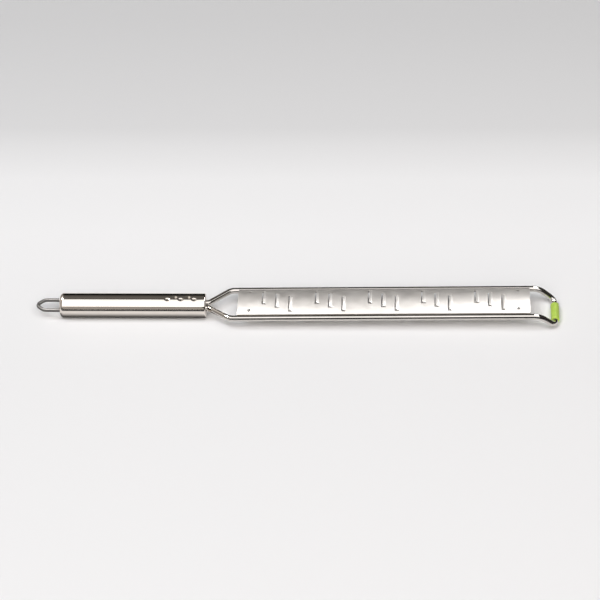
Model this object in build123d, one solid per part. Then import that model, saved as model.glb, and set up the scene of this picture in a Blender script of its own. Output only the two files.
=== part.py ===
from build123d import *
from math import acos, atan2, cos, degrees, hypot, radians, sin, tan
import os

# A long hand grater: a thin arched steel plate with fifteen small cutting
# tongues, welded between the two rails of one bent wire, whose tails end in a
# closed round tube handle. The wire turns down at the tip and carries a soft
# green sleeve on its crossbar, which is the foot. A thin wire loop at the rear
# of the handle hangs the grater up.
#
# Millimetres. X runs from the loop to the tip, Y across, Z up. The grater lies
# on the table as it rests, on the handle tube and on the foot: Z = 0 is the
# table, X = 0 is half way from the end of the loop to the end of the foot and
# Y = 0 is the plane that the grater is symmetric about.

# Driving dimensions

overall_length = 400.0

# Round tube handle with a turned cap in each end
tube_od = 19.0
tube_wall = 0.8
handle_length = 112.5
front_cap_face = 3.0
front_cap_round = 1.3
rear_cap_face = 3.8
rear_cap_round = 3.2
spigot_length = 3.0
spigot_wall = 1.0
spigot_clearance = 0.05

# Five pressed dimples in a zigzag on the front of the tube
dimple_count = 5
dimple_ball_radius = 8.4
dimple_depth = 0.25
dimple_step = 5.1
dimple_zigzag = 1.9
dimple_from_spigot = 3.0
dimple_turn = 15.0

# Hanging loop of thin wire, drawn in to a narrow round nose
loop_wire = 2.8
loop_centres = 12.0
loop_reach = 18.1
loop_tail_inside = 4.0
loop_taper = 45.0
loop_shoulder_radius = 6.0
loop_nose = 3.16
loop_nose_radius = 3.4

# Frame of thick wire: tails in the handle, neck, rails and dropped tip
rail_wire = 4.5
tail_centres = 6.0
tail_inside = 20.0
rail_centres = 33.0
neck_straight = 1.8
splay_angle = 39.5
splay_bend_radius = 3.8
neck_bend_radius = 9.0
rail_neck_height = 10.6
rail_tip_height = 13.4
tip_run = 12.0
tip_pinch = 1.25
tip_bend_radius = 14.0
crossbar_bend_radius = 5.0

# Soft sleeve on the crossbar
sleeve_wall = 1.0
sleeve_length = 17.8
sleeve_edge_round = 0.35
sleeve_clearance = 0.0

# Welded and brazed wires fill their holes
weld_clearance = 0.0

# Arched grating plate
plate_length = 222.5
plate_thickness = 0.6
plate_arch_radius = 50.0
plate_crown = 4.0
plate_from_bend = 6.2
weld_bite = 0.5

# Locating holes near the corners of the plate
corner_hole = 2.7
corner_hole_inset = 9.0
corner_hole_centres = 21.2

# Cutting tongues: groups of staggered tongues along the plate
group_count = 5
group_pitch = 40.5
tongues_in_group = 3
tongue_pitch = 10.2
tongue_stagger = 3.75
window_width = 16.8
window_length = 3.5
window_gap = 0.85
tongue_slope = 26.0
tongue_bend_radius = 2.2
grind_angle = 40.0

# Worked out from the driving dimensions

tube_radius = tube_od / 2
bore_radius = tube_radius - tube_wall
handle_rear = -overall_length / 2 + loop_reach
handle_front = handle_rear + handle_length
tube_rear = handle_rear + rear_cap_face
tube_front = handle_front - front_cap_face
handle_axis_height = tube_radius

loop_nose_x = -overall_length / 2 + loop_wire / 2
loop_shoulder_x = loop_nose_x + (loop_centres - loop_nose) / 2 / tan(radians(loop_taper))

rail_radius = rail_wire / 2
sleeve_radius = rail_radius + sleeve_clearance + sleeve_wall
crossbar_x = overall_length / 2 - sleeve_radius
crossbar_height = sleeve_radius
tip_bend_x = crossbar_x - tip_run
splay_x = handle_front + neck_straight
neck_bend_x = splay_x + (rail_centres - tail_centres) / 2 / tan(radians(splay_angle))
rail_slope = (rail_tip_height - rail_neck_height) / (tip_bend_x - neck_bend_x)
rail_pitch = degrees(atan2(rail_slope, 1.0))


def rail_height(x):
    """Height of the rail centre lines at X, on the straight rise from the neck to the tip."""
    return rail_neck_height + (x - neck_bend_x) * rail_slope


# Half angle of the arch: the plate crowns above the rails and comes down on
# the upper inner shoulder of each rail, where its middle surface meets the
# round of the wire.
half_rails = rail_centres / 2
arch_centre_drop = plate_arch_radius - plate_crown
arch_centre_to_rail = hypot(half_rails, arch_centre_drop)
arch_half_angle = atan2(half_rails, arch_centre_drop) - acos(
    (arch_centre_to_rail**2 + plate_arch_radius**2 - rail_radius**2)
    / (2 * arch_centre_to_rail * plate_arch_radius)
)


def round_rod(points, radii, diameter):
    """Round wire along straight runs joined by tangent arcs."""
    path = FilletPolyline(points, radius=radii)
    section = Plane(path @ 0, z_dir=path % 0) * Circle(diameter / 2)
    return sweep(section, path=path)


def along_x(x, y, z):
    """Frame with its own Z along +X, placed at a point."""
    return Plane((x, y, z), x_dir=(0, 1, 0), z_dir=(1, 0, 0))


def mirrored(points):
    """The points, and then their mirror images across Y = 0 in reverse order."""
    return points + [(x, -y, z) for x, y, z in reversed(points)]


def tail_places():
    """Y of the two frame tails."""
    return [tail_centres / 2, -tail_centres / 2]


def loop_places():
    """Y of the two loop legs."""
    return [loop_centres / 2, -loop_centres / 2]


def dimple_frame(index):
    """Frame on the surface of the tube, with its Z square to the metal."""
    x = tube_front - spigot_length - dimple_from_spigot - index * dimple_step
    side = 0.5 if index % 2 == 0 else -0.5
    turn = dimple_turn + degrees(side * dimple_zigzag / tube_radius)
    return Pos(x, 0, handle_axis_height) * Rot(turn, 0, 0) * Pos(0, 0, tube_radius)


def make_handle_tube():
    """Thin round tube with five dimples pressed in from outside."""
    length = tube_front - tube_rear
    start = along_x(tube_rear, 0, handle_axis_height)
    outer = start * Cylinder(tube_radius, length, align=(Align.CENTER, Align.CENTER, Align.MIN))
    bore = start * Cylinder(bore_radius, length, align=(Align.CENTER, Align.CENTER, Align.MIN))
    tube = outer - bore
    for index in range(dimple_count):
        ball_centre = dimple_frame(index) * Pos(0, 0, dimple_ball_radius - dimple_depth)
        pushed_in = (ball_centre * Sphere(dimple_ball_radius + tube_wall)) & bore
        tube = tube + pushed_in - ball_centre * Sphere(dimple_ball_radius)
    return tube


def make_cap(seat, face, edge_round, wire_diameter, places):
    """Turned cap: a round-edged disc, a hollow spigot for the tube and two wire holes.

    The seat frame lies on the end of the tube with its Z pointing outward.
    """
    spigot_radius = bore_radius - spigot_clearance
    disc = Cylinder(tube_radius, face, align=(Align.CENTER, Align.CENTER, Align.MIN))
    disc = fillet(disc.edges().group_by(Axis.Z)[-1], edge_round)
    spigot = Cylinder(spigot_radius, spigot_length, align=(Align.CENTER, Align.CENTER, Align.MAX))
    hollow = Cylinder(
        spigot_radius - spigot_wall, spigot_length, align=(Align.CENTER, Align.CENTER, Align.MAX)
    )
    cap = seat * (disc + spigot - hollow)
    for y in places:
        hole = along_x(0, y, handle_axis_height) * Cylinder(
            wire_diameter / 2 + weld_clearance, overall_length
        )
        cap = cap - hole
    return cap


def make_rear_cap():
    """Cap that closes the rear of the tube and holds the loop."""
    seat = Plane((tube_rear, 0, handle_axis_height), x_dir=(0, -1, 0), z_dir=(-1, 0, 0))
    return make_cap(seat, rear_cap_face, rear_cap_round, loop_wire, loop_places())


def make_front_cap():
    """Cap that closes the front of the tube and holds the frame tails."""
    seat = along_x(tube_front, 0, handle_axis_height)
    return make_cap(seat, front_cap_face, front_cap_round, rail_wire, tail_places())


def make_hanging_loop():
    """One bent wire: two legs through the rear cap, drawn in to a round nose."""
    half_route = [
        (tube_rear + loop_tail_inside, loop_centres / 2, handle_axis_height),
        (loop_shoulder_x, loop_centres / 2, handle_axis_height),
        (loop_nose_x, loop_nose / 2, handle_axis_height),
    ]
    half_radii = [loop_shoulder_radius, loop_nose_radius]
    return round_rod(mirrored(half_route), half_radii + half_radii[::-1], loop_wire)


def make_frame_wire():
    """One bent wire from tail to tail: neck, rail, dropped tip, crossbar and back."""
    half_bar = half_rails - tip_pinch
    half_route = [
        (handle_front - tail_inside, tail_centres / 2, handle_axis_height),
        (splay_x, tail_centres / 2, handle_axis_height),
        (neck_bend_x, half_rails, rail_height(neck_bend_x)),
        (tip_bend_x, half_rails, rail_height(tip_bend_x)),
        (crossbar_x, half_bar, crossbar_height),
    ]
    half_radii = [splay_bend_radius, neck_bend_radius, tip_bend_radius, crossbar_bend_radius]
    return round_rod(mirrored(half_route), half_radii + half_radii[::-1], rail_wire)


def make_foot_sleeve():
    """Soft tube pushed over the crossbar, with its edges rounded."""
    across = Plane((crossbar_x, 0, crossbar_height), x_dir=(1, 0, 0), z_dir=(0, 1, 0))
    body = Cylinder(sleeve_radius, sleeve_length)
    body = fillet(body.edges().filter_by(GeomType.CIRCLE), sleeve_edge_round)
    bore = Cylinder(rail_radius + sleeve_clearance, sleeve_length)
    return across * (body - bore)


def ring_sector(profile, middle_angle, half_angle):
    """Turn a profile, drawn in X and radius, about the arch axis through a sector."""
    return Rot(half_angle - middle_angle, 0, 0) * revolve(
        profile, axis=Axis.X, revolution_arc=-2 * half_angle
    )


def upright(points):
    """Face in the X and radius plane from a closed list of points."""
    return Face(Wire.make_polygon([(x, 0, radius) for x, radius in points], close=True))


def strip_profile(start, end, inner, outer):
    """Rectangle in X and radius."""
    return upright([(start, inner), (end, inner), (end, outer), (start, outer)])


def tongue_profile(hinge_x, length):
    """Bent tongue in X and radius: hinge, bend, straight flap and ground edge.

    The flap rises towards the handle and its ground end leaves the cutting
    edge on the upper side.
    """
    slope = radians(tongue_slope)
    inner = plate_arch_radius - plate_thickness / 2
    outer = plate_arch_radius + plate_thickness / 2
    centre_radius = outer + tongue_bend_radius
    bend_length = tongue_bend_radius * slope
    flap = length - bend_length
    grind = plate_thickness / tan(radians(grind_angle))

    def on_bend(radius, angle):
        return (hinge_x - radius * sin(angle), 0, centre_radius - radius * cos(angle))

    def beyond(point, distance):
        return (point[0] - distance * cos(slope), 0, point[2] + distance * sin(slope))

    upper = tongue_bend_radius
    lower = tongue_bend_radius + plate_thickness
    root_upper = (hinge_x, 0, outer)
    root_lower = (hinge_x, 0, inner)
    bend_upper = on_bend(upper, slope)
    bend_lower = on_bend(lower, slope)
    tip_upper = beyond(bend_upper, flap)
    tip_lower = beyond(bend_lower, flap - grind)
    outline = [
        ThreePointArc(root_upper, on_bend(upper, slope / 2), bend_upper),
        Line(bend_upper, tip_upper),
        Line(tip_upper, tip_lower),
        Line(tip_lower, bend_lower),
        ThreePointArc(bend_lower, on_bend(lower, slope / 2), root_lower),
        Line(root_lower, root_upper),
    ]
    return Face(Wire(outline))


def arc_angle(length):
    """Angle in degrees that a length along the arch takes up."""
    return degrees(length / plate_arch_radius)


def make_grating_plate():
    """Arched sheet with three-sided windows, a raised tongue in each, and corner holes.

    It is built about the arch axis, which lies along X, and set down between
    the rails at the end.
    """
    inner = plate_arch_radius - plate_thickness / 2
    outer = plate_arch_radius + plate_thickness / 2
    sheet = ring_sector(
        strip_profile(0, plate_length, inner, outer),
        0,
        degrees(arch_half_angle) + arc_angle(weld_bite),
    )

    # Windows and tongues
    field = (
        (group_count - 1) * group_pitch + (tongues_in_group - 1) * tongue_pitch + window_length
    )
    field_start = (plate_length - field) / 2
    stagger_middle = (tongues_in_group - 1) / 2
    window_half = arc_angle(window_width / 2)
    tongue_half = arc_angle(window_width / 2 - window_gap)
    windows = []
    tongues = []
    for group in range(group_count):
        for row in range(tongues_in_group):
            start = field_start + group * group_pitch + row * tongue_pitch
            hinge = start + window_length
            middle = arc_angle((stagger_middle - row) * tongue_stagger)
            opening = strip_profile(start, hinge, inner - 1, outer + 1)
            windows.append(ring_sector(opening, middle, window_half))
            profile = tongue_profile(hinge, window_length - window_gap)
            tongues.append(ring_sector(profile, middle, tongue_half))
    sheet = sheet - windows + tongues

    # Corner holes, square to the arched sheet
    hole_angle = arc_angle(corner_hole_centres / 2)
    for x in (corner_hole_inset, plate_length - corner_hole_inset):
        for angle in (hole_angle, -hole_angle):
            drill = Pos(x, 0, 0) * Rot(angle, 0, 0) * Pos(0, 0, plate_arch_radius)
            sheet = sheet - drill * Cylinder(corner_hole / 2, 4 * plate_thickness)

    # Between the rails, and trimmed to the round of each rail
    plate_x = neck_bend_x + plate_from_bend
    lie = Pos(plate_x, 0, rail_height(plate_x)) * Rot(0, -rail_pitch, 0)
    sheet = Pos(0, 0, -arch_centre_drop) * sheet
    for side in (half_rails, -half_rails):
        rail = along_x(0, side, 0) * Cylinder(
            rail_radius + weld_clearance, 2 * plate_length
        )
        sheet = sheet - rail
    return lie * sheet


PIECES = {
    "handle_tube": make_handle_tube,
    "front_cap": make_front_cap,
    "rear_cap": make_rear_cap,
    "hanging_loop": make_hanging_loop,
    "frame_wire": make_frame_wire,
    "grating_plate": make_grating_plate,
    "foot_sleeve": make_foot_sleeve,
}


def main():
    """Build every piece and write it under its own name."""
    os.makedirs("parts", exist_ok=True)
    for name, make in PIECES.items():
        piece = make()
        export_step(piece, f"parts/{name}.step")
        print(name, round(piece.volume, 1))


if __name__ == "__main__":
    main()
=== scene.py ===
"""Looks of a long hand grater with an arched cutting plate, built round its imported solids.

The pieces are worked out in millimetres, in the part's own frame, and become
metres when each one is handed over. X runs from the hanging loop to the tip,
Y across and Z up, with the table at Z = 0.
"""

import logging
import math
from collections.abc import Callable
from dataclasses import dataclass, field
from enum import Enum
from typing import ClassVar

import bmesh
import bpy
import numpy as np
from mathutils import Matrix, Vector

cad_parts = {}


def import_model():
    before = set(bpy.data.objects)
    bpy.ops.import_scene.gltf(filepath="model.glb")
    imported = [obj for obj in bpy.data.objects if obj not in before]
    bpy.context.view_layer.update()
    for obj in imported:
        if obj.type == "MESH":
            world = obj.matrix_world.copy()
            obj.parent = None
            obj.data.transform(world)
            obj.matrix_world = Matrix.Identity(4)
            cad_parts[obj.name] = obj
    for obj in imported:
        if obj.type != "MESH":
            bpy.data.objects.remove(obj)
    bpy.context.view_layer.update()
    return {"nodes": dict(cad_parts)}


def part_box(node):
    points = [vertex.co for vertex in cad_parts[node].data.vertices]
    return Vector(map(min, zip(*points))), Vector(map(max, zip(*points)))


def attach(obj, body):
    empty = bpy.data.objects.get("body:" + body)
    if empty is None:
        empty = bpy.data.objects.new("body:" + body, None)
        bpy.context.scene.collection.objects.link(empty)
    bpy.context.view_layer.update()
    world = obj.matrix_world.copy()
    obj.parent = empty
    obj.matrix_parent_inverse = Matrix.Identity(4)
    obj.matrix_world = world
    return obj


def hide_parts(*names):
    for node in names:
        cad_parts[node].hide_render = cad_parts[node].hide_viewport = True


log = logging.getLogger("hand_grater")

MM = 0.001
BODY = "root"
SHARP_EDGE = math.radians(38.0)

# Two layout marks this close are one, and a count may be this much over by rounding
SAME_PLACE = 1e-6
ROUNDING = 1e-9

Number = int | float
Pair = tuple[float, float]
Colour = tuple[float, float, float]
Point = tuple[float, float, float]
Stops = tuple[Pair, ...]
Faces = list[tuple[int, ...]]
Socket = bpy.types.NodeSocket


class Slot(Enum):
    """The record's material slots."""

    POLISHED = "polished_steel"
    WIRE = "bright_wire"
    SATIN = "satin_steel"
    SILICONE = "green_silicone"


class HandleEnd(Enum):
    """Which end of the handle a cap closes; the value is its outward direction along X."""

    REAR = -1
    FRONT = 1


@dataclass(frozen=True)
class GraterSizes:
    """The part's driving dimensions in millimetres, as its source names them."""

    overall_length: float = 400.0
    tube_od: float = 19.0
    tube_wall: float = 0.8
    handle_length: float = 112.5
    front_cap_face: float = 3.0
    front_cap_round: float = 1.3
    rear_cap_face: float = 3.8
    rear_cap_round: float = 3.2
    spigot_length: float = 3.0
    spigot_wall: float = 1.0
    spigot_clearance: float = 0.05
    dimple_count: int = 5
    dimple_ball_radius: float = 8.4
    dimple_depth: float = 0.25
    dimple_step: float = 5.1
    dimple_zigzag: float = 1.9
    dimple_from_spigot: float = 3.0
    dimple_turn: float = 15.0
    loop_wire: float = 2.8
    loop_centres: float = 12.0
    loop_reach: float = 18.1
    loop_tail_inside: float = 4.0
    loop_taper: float = 45.0
    loop_shoulder_radius: float = 6.0
    loop_nose: float = 3.16
    loop_nose_radius: float = 3.4
    rail_wire: float = 4.5
    tail_centres: float = 6.0
    tail_inside: float = 20.0
    rail_centres: float = 33.0
    neck_straight: float = 1.8
    splay_angle: float = 39.5
    splay_bend_radius: float = 3.8
    neck_bend_radius: float = 9.0
    rail_neck_height: float = 10.6
    rail_tip_height: float = 13.4
    tip_run: float = 12.0
    tip_pinch: float = 1.25
    tip_bend_radius: float = 14.0
    crossbar_bend_radius: float = 5.0
    sleeve_wall: float = 1.0
    sleeve_length: float = 17.8
    sleeve_edge_round: float = 0.35
    plate_length: float = 222.5
    plate_thickness: float = 0.6
    plate_arch_radius: float = 50.0
    plate_crown: float = 4.0
    plate_from_bend: float = 6.2
    corner_hole: float = 2.7
    corner_hole_inset: float = 9.0
    corner_hole_centres: float = 21.2
    group_count: int = 5
    group_pitch: float = 40.5
    tongues_in_group: int = 3
    tongue_pitch: float = 10.2
    tongue_stagger: float = 3.75
    window_width: float = 16.8
    window_length: float = 3.5
    window_gap: float = 0.85
    tongue_slope: float = 26.0
    tongue_bend_radius: float = 2.2
    grind_angle: float = 40.0

    @property
    def tube_radius(self) -> float:
        """Outside radius of the handle, which is also the height of its axis."""
        return self.tube_od / 2

    @property
    def bore_radius(self) -> float:
        """Inside radius of the handle tube."""
        return self.tube_radius - self.tube_wall

    @property
    def tube_rear(self) -> float:
        """X of the rear end of the bare tube, where the rear cap sits."""
        return -self.overall_length / 2 + self.loop_reach + self.rear_cap_face

    @property
    def handle_front(self) -> float:
        """X of the outer face of the front cap."""
        return -self.overall_length / 2 + self.loop_reach + self.handle_length

    @property
    def tube_front(self) -> float:
        """X of the front end of the bare tube."""
        return self.handle_front - self.front_cap_face

    @property
    def first_dimple_x(self) -> float:
        """X of the dimple nearest the front end."""
        return self.tube_front - self.spigot_length - self.dimple_from_spigot

    @property
    def loop_nose_x(self) -> float:
        """X where the two tapers of the loop meet its nose."""
        return (self.loop_wire - self.overall_length) / 2

    @property
    def loop_shoulder_x(self) -> float:
        """X where the legs of the loop start to draw in."""
        drawn_in = (self.loop_centres - self.loop_nose) / 2
        return self.loop_nose_x + drawn_in / math.tan(math.radians(self.loop_taper))

    @property
    def rail_radius(self) -> float:
        """Half the rail wire."""
        return self.rail_wire / 2

    @property
    def sleeve_radius(self) -> float:
        """Outside radius of the foot sleeve, which is also the height of its axis."""
        return self.rail_radius + self.sleeve_wall

    @property
    def half_rails(self) -> float:
        """Y of a rail's centre line."""
        return self.rail_centres / 2

    @property
    def crossbar_x(self) -> float:
        """X of the crossbar's centre line."""
        return self.overall_length / 2 - self.sleeve_radius

    @property
    def splay_x(self) -> float:
        """X where the tails splay into the neck."""
        return self.handle_front + self.neck_straight

    @property
    def neck_bend_x(self) -> float:
        """X where the neck turns into the rails."""
        splay = (self.rail_centres - self.tail_centres) / 2
        return self.splay_x + splay / math.tan(math.radians(self.splay_angle))

    @property
    def tip_bend_x(self) -> float:
        """X where the rails turn down at the tip."""
        return self.crossbar_x - self.tip_run

    @property
    def rail_slope(self) -> float:
        """Rise of the rails for each millimetre along X."""
        rise = self.rail_tip_height - self.rail_neck_height
        return rise / (self.tip_bend_x - self.neck_bend_x)

    def rail_height(self, x: float) -> float:
        """Height of the rails' centre lines at X."""
        return self.rail_neck_height + (x - self.neck_bend_x) * self.rail_slope

    @property
    def arch_centre_drop(self) -> float:
        """How far the arch's axis lies below the rails' centre lines."""
        return self.plate_arch_radius - self.plate_crown

    @property
    def arch_half_angle(self) -> float:
        """Half angle of the arch in radians, where the sheet's middle meets the rail wire."""
        to_rail = math.hypot(self.half_rails, self.arch_centre_drop)
        squares = to_rail**2 + self.plate_arch_radius**2 - self.rail_radius**2
        short_of_rail = math.acos(squares / (2 * to_rail * self.plate_arch_radius))
        return math.atan2(self.half_rails, self.arch_centre_drop) - short_of_rail

    @property
    def field_start(self) -> float:
        """Distance from the plate's handle end to its first window."""
        groups = (self.group_count - 1) * self.group_pitch
        rows = (self.tongues_in_group - 1) * self.tongue_pitch
        return (self.plate_length - groups - rows - self.window_length) / 2

    @property
    def grind_length(self) -> float:
        """How far the ground face of a tongue reaches back along the sheet."""
        return self.plate_thickness / math.tan(math.radians(self.grind_angle))


# Node trees


def one_node(operation: str, swapped: bool = False) -> Callable[..., "Value"]:
    """A method of Value that lays out one arithmetic node.

    Args:
        operation: Blender's name for the sum.
        swapped: whether the value comes after the other number.

    Returns:
        The method.
    """

    def method(this: "Value", *others: "Value | Number") -> "Value":
        """The node's result."""
        numbers = (*others, this) if swapped else (this, *others)
        return this.bench.calc(operation, *numbers)

    return method


@dataclass(frozen=True)
class Value:
    """A number in a node tree that adds, multiplies and compares like one in a formula.

    A comparison is 1 where it holds and 0 elsewhere.

    Attributes:
        bench: the tree that the number is in.
        socket: where it comes out of its node.
    """

    bench: "NodeBench"
    socket: Socket

    __add__ = __radd__ = one_node("ADD")
    __sub__ = one_node("SUBTRACT")
    __rsub__ = one_node("SUBTRACT", swapped=True)
    __mul__ = __rmul__ = one_node("MULTIPLY")
    __truediv__ = one_node("DIVIDE")
    __gt__ = one_node("GREATER_THAN")
    __lt__ = one_node("LESS_THAN")
    at_least = one_node("MAXIMUM")
    at_most = one_node("MINIMUM")
    size = one_node("ABSOLUTE")
    floor = one_node("FLOOR")
    sine = one_node("SINE")
    cosine = one_node("COSINE")

    def root(self) -> "Value":
        """Square root, with negative values taken as zero."""
        return self.bench.calc("SQRT", self.at_least(0.0))


class NodeBench:
    """Lays out nodes in a shader or geometry tree and links them."""

    def __init__(self, tree: bpy.types.NodeTree) -> None:
        """Start work on a tree.

        Args:
            tree: the node tree that the nodes go into.
        """
        self.tree = tree

    def add(self, kind: str, feeds: dict | None = None, **settings: object) -> bpy.types.Node:
        """Add a node, set its options and feed its sockets.

        Args:
            kind: Blender's name for the node type.
            feeds: what goes into each input, by the input's name or number.
            settings: the node's own options.

        Returns:
            The new node.
        """
        node = self.tree.nodes.new(kind)
        for option, choice in settings.items():
            setattr(node, option, choice)
        for name, what in (feeds or {}).items():
            self.feed(node.inputs[name], what)
        return node

    def feed(self, socket: Socket, what: object) -> None:
        """Link a socket or value to an input, or write a plain value on it."""
        if isinstance(what, Value):
            what = what.socket
        if isinstance(what, Socket):
            self.tree.links.new(what, socket)
        else:
            socket.default_value = what

    def value(self, socket: Socket) -> Value:
        """A socket as a value for formulas."""
        return Value(self, socket)

    def calc(self, operation: str, *numbers: "Value | Number") -> Value:
        """One arithmetic node.

        Args:
            operation: Blender's name for the sum.
            numbers: the one, two or three numbers it takes.

        Returns:
            Its result.
        """
        feeds = dict(enumerate(numbers))
        return Value(self, self.add("ShaderNodeMath", feeds, operation=operation).outputs[0])

    def split(self, vector: Socket) -> list[Value]:
        """The X, Y and Z of a vector."""
        parts = self.add("ShaderNodeSeparateXYZ", {0: vector}).outputs
        return [Value(self, part) for part in parts]

    def join(self, x: object, y: object, z: object) -> Socket:
        """A vector from three numbers."""
        return self.add("ShaderNodeCombineXYZ", {0: x, 1: y, 2: z}).outputs[0]

    def rescaled(self, value: object, span: Pair, onto: Pair = (0.0, 1.0)) -> Socket:
        """Carry a value from one range over to another, and hold it inside.

        Args:
            value: what is rescaled.
            span: the range that it comes from.
            onto: the range that it goes to.

        Returns:
            The new value.
        """
        ends = zip(("From Min", "From Max", "To Min", "To Max"), (*span, *onto), strict=True)
        return self.add("ShaderNodeMapRange", {"Value": value} | dict(ends)).outputs[0]

    def ramp(self, factor: object, stops: list[tuple[float, Colour]]) -> Socket:
        """A colour that changes from stop to stop as a factor rises from 0 to 1."""
        node = self.add("ShaderNodeValToRGB", {"Fac": factor})
        elements = node.color_ramp.elements
        while len(elements) < len(stops):
            elements.new(0.5)
        for element, (position, colour) in zip(elements, stops, strict=True):
            element.position = position
            element.color = (*colour, 1.0)
        return node.outputs[0]

    def mix(self, share: object, first: object, second: object) -> Socket:
        """Go from one colour to another as their share rises from 0 to 1."""
        node = self.add("ShaderNodeMix", {"Factor": share}, data_type="RGBA")
        ends = [socket for socket in node.inputs if socket.type == "RGBA"]
        self.feed(ends[0], first)
        self.feed(ends[1], second)
        return next(socket for socket in node.outputs if socket.type == "RGBA")


def fresh_material(name: str) -> tuple[bpy.types.Material, NodeBench]:
    """A material with an empty node tree, and the bench to fill it on."""
    made = bpy.data.materials.new(name)
    made.use_nodes = True
    made.node_tree.nodes.clear()
    return made, NodeBench(made.node_tree)


class GeometryTree(NodeBench):
    """A geometry node tree with named inputs that is run once on one object."""

    KINDS: ClassVar[dict[type, str]] = {float: "NodeSocketFloat", int: "NodeSocketInt"}

    def __init__(self, name: str, sizes: dict[str, Number | bpy.types.Material]) -> None:
        """Make the tree with its geometry sockets and its named inputs.

        Args:
            name: what the tree does.
            sizes: each named input and the value it is run with.
        """
        super().__init__(bpy.data.node_groups.new(name, "GeometryNodeTree"))
        face = self.tree.interface
        face.new_socket("Geometry", in_out="INPUT", socket_type="NodeSocketGeometry")
        face.new_socket("Geometry", in_out="OUTPUT", socket_type="NodeSocketGeometry")
        self.set_values: dict[str, Number | bpy.types.Material] = {}
        for label, setting in sizes.items():
            kind = self.KINDS.get(type(setting), "NodeSocketMaterial")
            socket = face.new_socket(label, in_out="INPUT", socket_type=kind)
            self.set_values[socket.identifier] = setting
        self.inlet = self.tree.nodes.new("NodeGroupInput")
        self.geometry = self.inlet.outputs["Geometry"]

    def size(self, label: str) -> Value:
        """A named input of the tree."""
        return self.value(self.inlet.outputs[label])

    def position(self) -> list[Value]:
        """The X, Y and Z of the point that is being worked on."""
        return self.split(self.add("GeometryNodeInputPosition").outputs[0])

    def labelled(self, geometry: Socket, name: str, kind: str, value: Socket) -> Socket:
        """Store a value on every point under a name.

        Args:
            geometry: what it is stored on.
            name: the attribute's name.
            kind: Blender's name for the kind of value.
            value: what is stored.

        Returns:
            The geometry with the attribute on it.
        """
        feeds = {"Geometry": geometry, "Name": name}
        settings = {"data_type": kind, "domain": "POINT"}
        node = self.add("GeometryNodeStoreNamedAttribute", feeds, **settings)
        self.feed(next(i for i in node.inputs if i.name == "Value" and i.enabled), value)
        return node.outputs[0]

    def move_to(self, x: Value, y: Value, z: Value) -> None:
        """Put every point at the place that three formulas give."""
        feeds = {"Geometry": self.geometry, "Position": self.join(x, y, z)}
        self.geometry = self.add("GeometryNodeSetPosition", feeds).outputs[0]

    def finish(self, material: str | None = None) -> None:
        """Realize what is instanced, give it its material and close the tree.

        Args:
            material: the name of the material input, or None where the mesh keeps its own.
        """
        self.geometry = self.add(
            "GeometryNodeRealizeInstances", {"Geometry": self.geometry}
        ).outputs[0]
        if material:
            feeds = {"Geometry": self.geometry, "Material": self.size(material)}
            self.geometry = self.add("GeometryNodeSetMaterial", feeds).outputs[0]
        outlet = self.tree.nodes.new("NodeGroupOutput")
        self.tree.links.new(self.geometry, outlet.inputs[0])

    def fit_to(self, blank: bpy.types.Object) -> None:
        """Put the tree on an object as a modifier, with its inputs set by identifier."""
        modifier = blank.modifiers.new(self.tree.name, "NODES")
        modifier.node_group = self.tree
        for identifier, setting in self.set_values.items():
            modifier[identifier] = setting


# Finishes


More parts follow.
